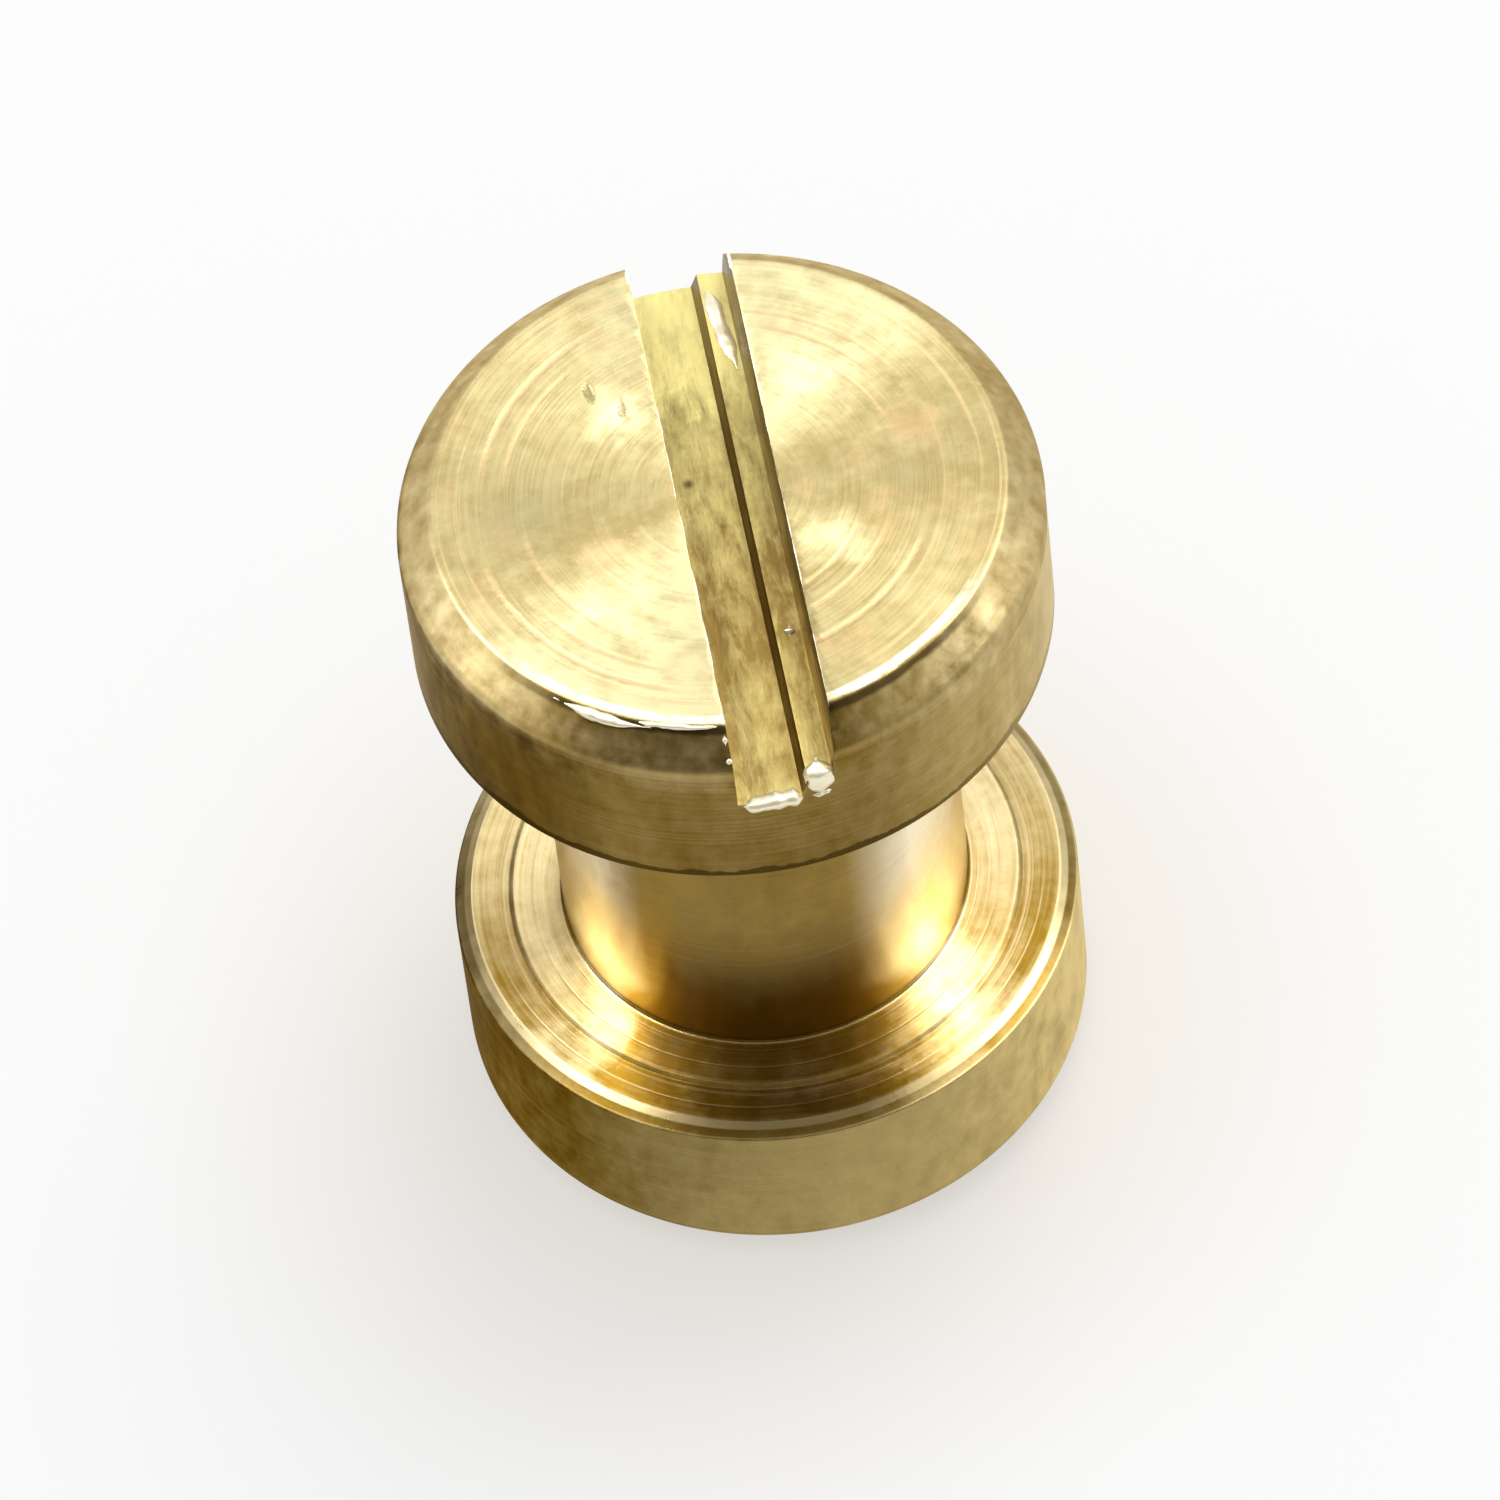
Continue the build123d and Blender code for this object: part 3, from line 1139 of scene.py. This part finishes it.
class BARRELSCREW_OT_barrel(bpy.types.Operator):
    """Turn, drill and tap the barrel post with its plain head"""

    bl_idname = "barrel_screw.barrel"
    bl_label = "Barrel Post"

    def execute(self, context):
        sizes = context.scene.barrel_screw_sizes
        finish = context.scene.barrel_screw_finish
        inner = sizes.plain_head / MM
        material = turned_brass(
            "turned_brass_barrel",
            finish,
            barrel_bands(finish, inner),
            grooves=FLANGE_GROOVES,
            # Two dark spots on the inner face, at the front left.
            stains_and_painted_light=(
                ((-2.10, -2.85, inner), 0.45, finish.dirt, 0.45),
                ((-2.45, -3.35, inner), 0.40, finish.dirt, 0.40),
            ),
        )
        lowest = BARREL_END - sizes.thread_run - sizes.pitch
        rows = threaded_rows(barrel_corners(sizes), lowest, BARREL_END, sizes.pitch)
        post = link_object("barrel_post_turned", turned_mesh("post", rows, SIDES), material)
        apply_tree(
            post,
            thread_tree(),
            pitch=sizes.pitch,
            crest_radius=sizes.thread_radius + sizes.thread_gap,
            depth=sizes.thread_depth,
            lowest=lowest,
            highest=BARREL_END + 1 * MM,
            run_out=sizes.pitch,
            inner_thread=True,
        )
        finish_surface(post)
        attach(post, "barrel")
        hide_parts("barrel_post")
        return {"FINISHED"}


class BARRELSCREW_OT_screw(bpy.types.Operator):
    """Turn, thread and slot the screw"""

    bl_idname = "barrel_screw.screw"
    bl_label = "Slotted Screw"

    def execute(self, context):
        sizes = context.scene.barrel_screw_sizes
        finish = context.scene.barrel_screw_finish
        top = SCREW_HIGH.z / MM
        face = (HEAD_RADIUS - sizes.face_chamfer) / MM
        turned = turned_brass(
            "turned_brass_screw",
            finish,
            screw_bands(finish, face, top),
            grain=0.65,
            marks=(((-1.62, 2.30, top), 0.11, 2.6), ((-1.16, 1.82, top), 0.11, 3.0)),
            grooves=FACE_GROOVES,
            stains_and_painted_light=(
                ((3.15, 0.50, top), 0.50, finish.pink, 0.65),
                ((3.15, 0.60, top), 0.34, finish.post_dark, 0.30),
                ((2.20, 0.15, top), 0.40, finish.pink, 0.30),
                ((-1.90, -0.90, top), 0.55, finish.pink, 0.45),
                ((-3.00, 0.20, top), 0.85, PAINTED_SHADE_LEFT, 0.60),
                ((2.90, -0.35, top), 0.60, PAINTED_SHADE_RIGHT, 0.45),
                ((1.55, 1.84, top), 0.65, PAINTED_SHEEN, 0.60),
                ((-1.30, 1.75, top), 0.55, PAINTED_SHEEN, 0.65),
                ((1.60, -1.30, top), 0.60, PAINTED_SHEEN, 0.45),
                ((-2.00, -1.90, top), 0.60, PAINTED_SHEEN, 0.40),
                ((-3.83, -3.21, top - 2.0), 1.6, AMBER, 0.75),
            ),
            rim=face,
            under_edge=BARREL_END / MM + 0.20,
        )
        specks = (
            ((-0.35, 1.20, top - sizes.slot_deep / MM), 0.13),
            ((0.70, 3.62, top - sizes.slot_shallow / MM), 0.12),
        )
        grime, dirt = finish.grime, finish.dirt
        floor = sawn_brass(
            "sawn_brass_floor", finish.sawn, grime, dirt, FLOOR_SHARE, 0.46, specks
        )
        # The walls' dark colour is painted shade in the slot.
        wall = sawn_brass("sawn_brass_wall", finish.wall, grime, dirt, WALL_SHARE, 0.36)
        thread_top = BARREL_END - sizes.relief + RELIEF_SLOPE
        rows = threaded_rows(screw_corners(sizes), SCREW_LOW.z, thread_top, sizes.pitch)
        screw = link_object("slotted_screw_turned", turned_mesh("screw", rows, SIDES), turned)
        apply_tree(
            screw,
            thread_tree(),
            pitch=sizes.pitch,
            crest_radius=sizes.thread_radius,
            depth=sizes.thread_depth,
            lowest=SCREW_LOW.z - 1 * MM,
            highest=thread_top,
            run_out=0.1 * MM,
            inner_thread=False,
        )
        saw_slot(screw, slot_cutter(sizes, floor, wall))
        break_slot_edges(screw, 0.02 * MM)
        finish_surface(screw)
        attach(screw, "screw")
        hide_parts("slotted_screw")
        return {"FINISHED"}


def rim_points(radius, z, x_start, x_end, count=24):
    """Points along the near side of a circle round the axis, in millimetres."""
    points = []
    for i in range(count + 1):
        x = x_start + (x_end - x_start) * i / count
        points.append((x, -math.sqrt(radius * radius - x * x), z))
    return points


def line_points(start, end, count=24):
    """Points along a straight line, in millimetres."""
    start, end = Vector(start), Vector(end)
    return [tuple(start.lerp(end, i / count)) for i in range(count + 1)]


class BurrShape(NamedTuple):
    """A burr's width and sway in millimetres; how flat, even and ragged it is, the share
    of it that tapers at each end, and the seed of its own noise."""

    width: float
    flatness: float
    evenness: float
    taper: float
    raggedness: float
    sway: float
    seed: int


def burr_line(name, points, shape, material, tree):
    """One burr along points in millimetres, as a plain mesh object."""
    mesh = bpy.data.meshes.new(name)
    verts = [tuple(part * MM for part in point) for point in points]
    mesh.from_pydata(verts, [(i, i + 1) for i in range(len(verts) - 1)], [])
    burr = link_object(name, mesh)
    shape = shape._replace(width=shape.width * MM, sway=shape.sway * MM)
    apply_tree(burr, tree, **shape._asdict(), material=material)
    return burr


def burr_rows(sizes):
    """Every burr's name, line and shape, from where the slot's edges lie."""
    top = SCREW_HIGH.z / MM
    left = (sizes.slot_offset - (sizes.slot_deep_width + sizes.slot_shallow_width) / 2) / MM
    step = left + sizes.slot_deep_width / MM
    right = step + sizes.slot_shallow_width / MM
    deep = top - sizes.slot_deep / MM
    low = top - sizes.slot_shallow / MM
    face = (HEAD_RADIUS - sizes.face_chamfer) / MM
    side = HEAD_RADIUS / MM
    reach = math.sqrt(face * face - left * left)
    rim, line = rim_points, line_points
    return (
        ("face_lip", rim(face + 0.06, top - 0.06, -3.10, -1.75),
         BurrShape(0.125, 0.8, 0.8, 0.45, 1.0, 0.08, 3)),
        ("face_flake", rim(face + 0.01, top - 0.03, -2.0, left),
         BurrShape(0.06, 0.8, 0.6, 0.2, 1.1, 0.08, 6)),
        ("face_right", rim(face - 0.03, top - 0.01, right, 2.4),
         BurrShape(0.03, 0.6, 0.2, 0.1, 1.6, 0.04, 5)),
        ("slot_left", line((left, -reach, top), (left, reach, top), 90),
         BurrShape(0.014, 0.6, 0.1, 0.1, 1.1, 0.05, 8)),
        ("slot_right", line((right, -reach, top), (right, reach, top), 90),
         BurrShape(0.014, 0.6, 0.1, 0.1, 1.1, 0.03, 12)),
        ("deep_end", rim(side - 0.06, deep - 0.06, left + 0.04, step - 0.02),
         BurrShape(0.17, 0.8, 0.7, 0.2, 0.9, 0.12, 21)),
        ("shallow_end",
         line((step + 0.17, -4.76, low + 0.26), (step + 0.22, -4.95, low - 0.36), 20),
         BurrShape(0.27, 0.8, 0.9, 0.38, 1.0, 0.05, 23)),
        ("shallow_lip", rim(side - 0.01, low - 0.36, step + 0.02, right - 0.12),
         BurrShape(0.08, 0.7, 0.5, 0.3, 1.2, 0.08, 26)),
        ("chamfer_nick",
         line((left - 0.04, -4.52, top - 0.10), (left - 0.05, -4.62, top - 0.22), 8),
         BurrShape(0.05, 0.8, 0.7, 0.5, 1.0, 0.04, 27)),
        ("chamfer_left",
         line((left - 0.03, -4.74, top - 0.36), (left - 0.05, -4.84, top - 0.50), 8),
         BurrShape(0.06, 0.8, 0.7, 0.5, 1.0, 0.04, 29)),
        ("back_left", line((left, 4.15, top - 0.02), (left - 0.02, 4.5, top + 0.03), 12),
         BurrShape(0.05, 0.6, 0.5, 0.3, 2.0, 0.04, 33)),
        ("back_right", line((right, 4.1, top - 0.02), (right, 4.5, top + 0.03), 12),
         BurrShape(0.05, 0.6, 0.5, 0.3, 2.0, 0.04, 35)),
        ("back_flake", line((step + 0.30, 3.0, low), (step + 0.10, 4.8, low), 20),
         BurrShape(0.15, 0.25, 0.8, 0.3, 0.9, 0.05, 37)),
        ("lane_dot", line((right - 0.30, -2.22, low), (right - 0.28, -2.06, low + 0.03), 8),
         BurrShape(0.10, 0.6, 0.9, 0.5, 1.0, 0.02, 39)),
    )


class BARRELSCREW_OT_burrs(bpy.types.Operator):
    """Grow the burrs that the saw and the lathe left on the slotted head"""

    bl_idname = "barrel_screw.burrs"
    bl_label = "Burrs"

    def execute(self, context):
        material = burr_brass("burr_brass", context.scene.barrel_screw_finish)
        tree = burr_tree()
        for name, points, shape in burr_rows(context.scene.barrel_screw_sizes):
            piece = burr_line("burr_" + name, points, shape, material, tree)
            finish_surface(piece, sharp=60.0)
            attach(piece, "screw")
        return {"FINISHED"}


# ------------------------------------------------------------------ stage
WHITE = (1.0, 1.0, 1.0, 1.0)
FLOOR_SHADE_NEAR = (0.80, 0.74, 0.62)  # painted warm shade and bounce light on the floor close to the brass
FLOOR_HALF = 0.6
FLOOR_LIFT = 0.5
DAYLIGHT = 0.86
CARD_FOOT = 0.1
SENSOR_WIDTH = 36.0

# Cards round the screw: (name, azimuth, elevation, distance, size, tone).
CARDS = (
    ("card_front", -108.0, 34.0, 0.30, (0.60, 0.36), (0.085, 0.062, 0.036)),
    ("card_front_right", -38.0, 20.0, 0.34, (0.30, 0.26), (0.45, 0.45, 0.45)),
    ("card_right_back", 38.0, 14.0, 0.34, (0.28, 0.24), (0.70, 0.70, 0.70)),
    ("softbox_left", 160.0, 56.0, 0.36, (0.14, 0.24), (12.0, 12.0, 12.0)),
    ("softbox_right", 4.0, 56.0, 0.36, (0.14, 0.24), (9.0, 9.0, 9.0)),
)
# Cards in a brass tone, seen only mirrored, stand in for the brass pieces close by, as painted
# reflections of them: (name, start, finish, height, tone, fade).
NEIGHBOURS = (
    ("brass_left", (-8.5, -13.0), (-8.5, 16.0), 11.0, (0.13, 0.09, 0.028), 10.0),
    ("brass_front", (-13.0, -10.0), (14.0, -10.0), 6.0, (0.24, 0.17, 0.055), 8.0),
)


def aim(thing, target, roll=0.0):
    """Points an object's -Z axis at a target, leaned by roll."""
    look = (Vector(target) - thing.location).to_track_quat("-Z", "Y").to_matrix()
    thing.matrix_world = (
        Matrix.Translation(thing.location) @ look.to_4x4() @ Matrix.Rotation(roll, 4, "Z")
    )


def place_lamp(name, azimuth, elevation, distance, size, watts):
    """A soft lamp on a sphere round the screw, facing it."""
    data = bpy.data.lights.new(name, "AREA")
    data.shape = "RECTANGLE"
    data.size, data.size_y = size
    data.energy = watts
    lamp = bpy.data.objects.new(name, data)
    bpy.context.scene.collection.objects.link(lamp)
    lamp.location = direction(azimuth, elevation) * distance
    aim(lamp, (0, 0, 0))


def direction(azimuth, elevation):
    """A unit vector from angles in degrees; azimuth turns from +X towards +Y."""
    turn, rise = math.radians(azimuth), math.radians(elevation)
    return Vector(
        (math.cos(turn) * math.cos(rise), math.sin(turn) * math.cos(rise), math.sin(rise))
    )


def mirrored_card(name, corners, tone, fade=0.0):
    """A flat card of one tone that only shows mirrored in the brass; it may fade out
    towards both ends, over a length in millimetres."""
    material, nodes = start_material(name)
    shade = nodes.add("ShaderNodeEmission", {"Color": opaque(tone), "Strength": 1.0})
    if fade:
        first, last = corners[0] / MM, corners[1] / MM
        reach = (last - first).length / 2
        place = millimetre_coordinates(nodes)[0]
        offset = nodes.vector("SUBTRACT", place, tuple((first + last) / 2))
        along = nodes.vector("DOT_PRODUCT", offset, tuple((last - first).normalized()))
        shown = nodes.fall(abs(along), reach - fade, reach)
        shade = nodes.mix(shown, nodes.add("ShaderNodeBsdfTransparent"), shade)
    nodes.add("ShaderNodeOutputMaterial", {"Surface": shade})
    card = sheet_object(name, corners, material)
    card.visible_camera = False
    card.visible_diffuse = False
    card.visible_shadow = False


def reflector(name, azimuth, elevation, distance, size, tone):
    """A card on a sphere round the screw, facing it."""
    way = direction(azimuth, elevation)
    centre = way * distance
    side = way.cross(Vector((0, 0, 1))).normalized() * size[0] / 2
    rise = side.cross(way).normalized() * size[1] / 2
    signs = ((-1, -1), (1, -1), (1, 1), (-1, 1))
    mirrored_card(name, [centre + side * a + rise * b for a, b in signs], tone)


def standing_card(name, start, finish, high, tone, fade):
    """A card that stands on the floor between two points and fades out towards both, all
    in millimetres."""
    corners = [(*start, CARD_FOOT), (*finish, CARD_FOOT), (*finish, high), (*start, high)]
    mirrored_card(name, [Vector(corner) * MM for corner in corners], tone, fade)


def seen_or_mirrored(nodes):
    """1 where the eye meets a surface straight or by way of a mirror or glass."""
    path = nodes.outputs("ShaderNodeLightPath")
    seen = nodes.math("MAXIMUM", path["Is Camera Ray"], path["Is Glossy Ray"])
    return nodes.math("MAXIMUM", seen, path["Is Transmission Ray"])


def floor_material(name, value, lift):
    """A matt floor that keeps its shadows, with painted warm shade close to the screw, lifted
    towards white where it is seen.
    """
    material, nodes = start_material(name)
    radius = millimetre_coordinates(nodes)[-1]
    near = nodes.ramp(radius, 4.5, 11.0, 0.8, 0.0)
    shade = nodes.blend(near, value, FLOOR_SHADE_NEAR)
    matt = nodes.add("ShaderNodeBsdfDiffuse", {"Color": shade, "Roughness": 0.0})
    white = nodes.add("ShaderNodeEmission", {"Color": WHITE, "Strength": 1.0})
    mixed = nodes.mix(seen_or_mirrored(nodes) * lift, matt, white)
    nodes.add("ShaderNodeOutputMaterial", {"Surface": mixed})
    return material


def sheet_object(name, corners, material):
    """A flat quadrilateral for the stage."""
    mesh = bpy.data.meshes.new(name)
    mesh.from_pydata(corners, [], [(0, 1, 2, 3)])
    thing = link_object(name, mesh, material)
    return thing


def set_world():
    """White where it is seen or mirrored, softer where it only lights."""
    world = bpy.data.worlds.new("studio")
    bpy.context.scene.world = world
    world.use_nodes = True
    world.node_tree.nodes.clear()
    nodes = NodeBuilder(world.node_tree)
    light = nodes.add("ShaderNodeBackground", {"Color": WHITE, "Strength": DAYLIGHT})
    seen = nodes.add("ShaderNodeBackground", {"Color": WHITE, "Strength": 1.0})
    mixed = nodes.mix(seen_or_mirrored(nodes), light, seen)
    nodes.add("ShaderNodeOutputWorld", {"Surface": mixed})


class BARRELSCREW_OT_stage(bpy.types.Operator):
    """Lay the floor and set the lamps and the camera"""

    bl_idname = "barrel_screw.stage"
    bl_label = "Stage"

    def execute(self, context):
        scene = context.scene
        studio = scene.barrel_screw_studio
        middle = Vector((0.0, 0.0, SCREW_HIGH.z / 2))
        scene.view_settings.view_transform = "Standard"
        set_world()

        half = FLOOR_HALF
        sheet_object(
            "floor",
            [(-half, -half, 0), (half, -half, 0), (half, half, 0), (-half, half, 0)],
            floor_material("floor_white", studio.floor, FLOOR_LIFT),
        )
        for card in CARDS:
            reflector(*card)
        for card in NEIGHBOURS:
            standing_card(*card)
        place_lamp("lamp_top", 48.0, 60.0, 0.45, (0.26, 0.26), 0.55)

        data = bpy.data.cameras.new("camera")
        data.lens = studio.lens
        data.sensor_width = SENSOR_WIDTH
        data.clip_start = 0.01
        data.clip_end = 10.0
        camera = bpy.data.objects.new("camera", data)
        scene.collection.objects.link(camera)
        away = Vector(
            (
                math.sin(studio.azimuth) * math.cos(studio.elevation),
                -math.cos(studio.azimuth) * math.cos(studio.elevation),
                math.sin(studio.elevation),
            )
        )
        camera.location = middle + away * studio.distance
        aim(camera, middle, -studio.roll)
        scene.camera = camera
        return {"FINISHED"}


class BARRELSCREW_PT_panel(bpy.types.Panel):
    """The screw's pieces, in the order in which they are made"""

    bl_idname = "BARRELSCREW_PT_panel"
    bl_label = "Barrel Screw"
    bl_space_type = "VIEW_3D"
    bl_region_type = "UI"
    bl_category = "Barrel Screw"

    def draw(self, context):
        for operator in OPERATORS:
            self.layout.operator(operator.bl_idname)


OPERATORS = (
    BARRELSCREW_OT_barrel,
    BARRELSCREW_OT_screw,
    BARRELSCREW_OT_burrs,
    BARRELSCREW_OT_stage,
)
SETTINGS = {
    "barrel_screw_sizes": BarrelScrewSizes,
    "barrel_screw_finish": BrassFinish,
    "barrel_screw_studio": StudioSettings,
}
CLASSES = (*SETTINGS.values(), *OPERATORS, BARRELSCREW_PT_panel)


def register():
    """Registers the classes and hangs the settings on the scene."""
    for kind in CLASSES:
        bpy.utils.register_class(kind)
    for name, group in SETTINGS.items():
        setattr(bpy.types.Scene, name, PointerProperty(type=group))


def unregister():
    """Takes the settings and classes away again."""
    for name in SETTINGS:
        delattr(bpy.types.Scene, name)
    for kind in reversed(CLASSES):
        bpy.utils.unregister_class(kind)


def main():
    """Registers the add-on, then builds the pieces and the stage."""
    register()
    for operator in OPERATORS:
        group, name = operator.bl_idname.split(".")
        getattr(getattr(bpy.ops, group), name)()


if __name__ == "__main__":
    main()
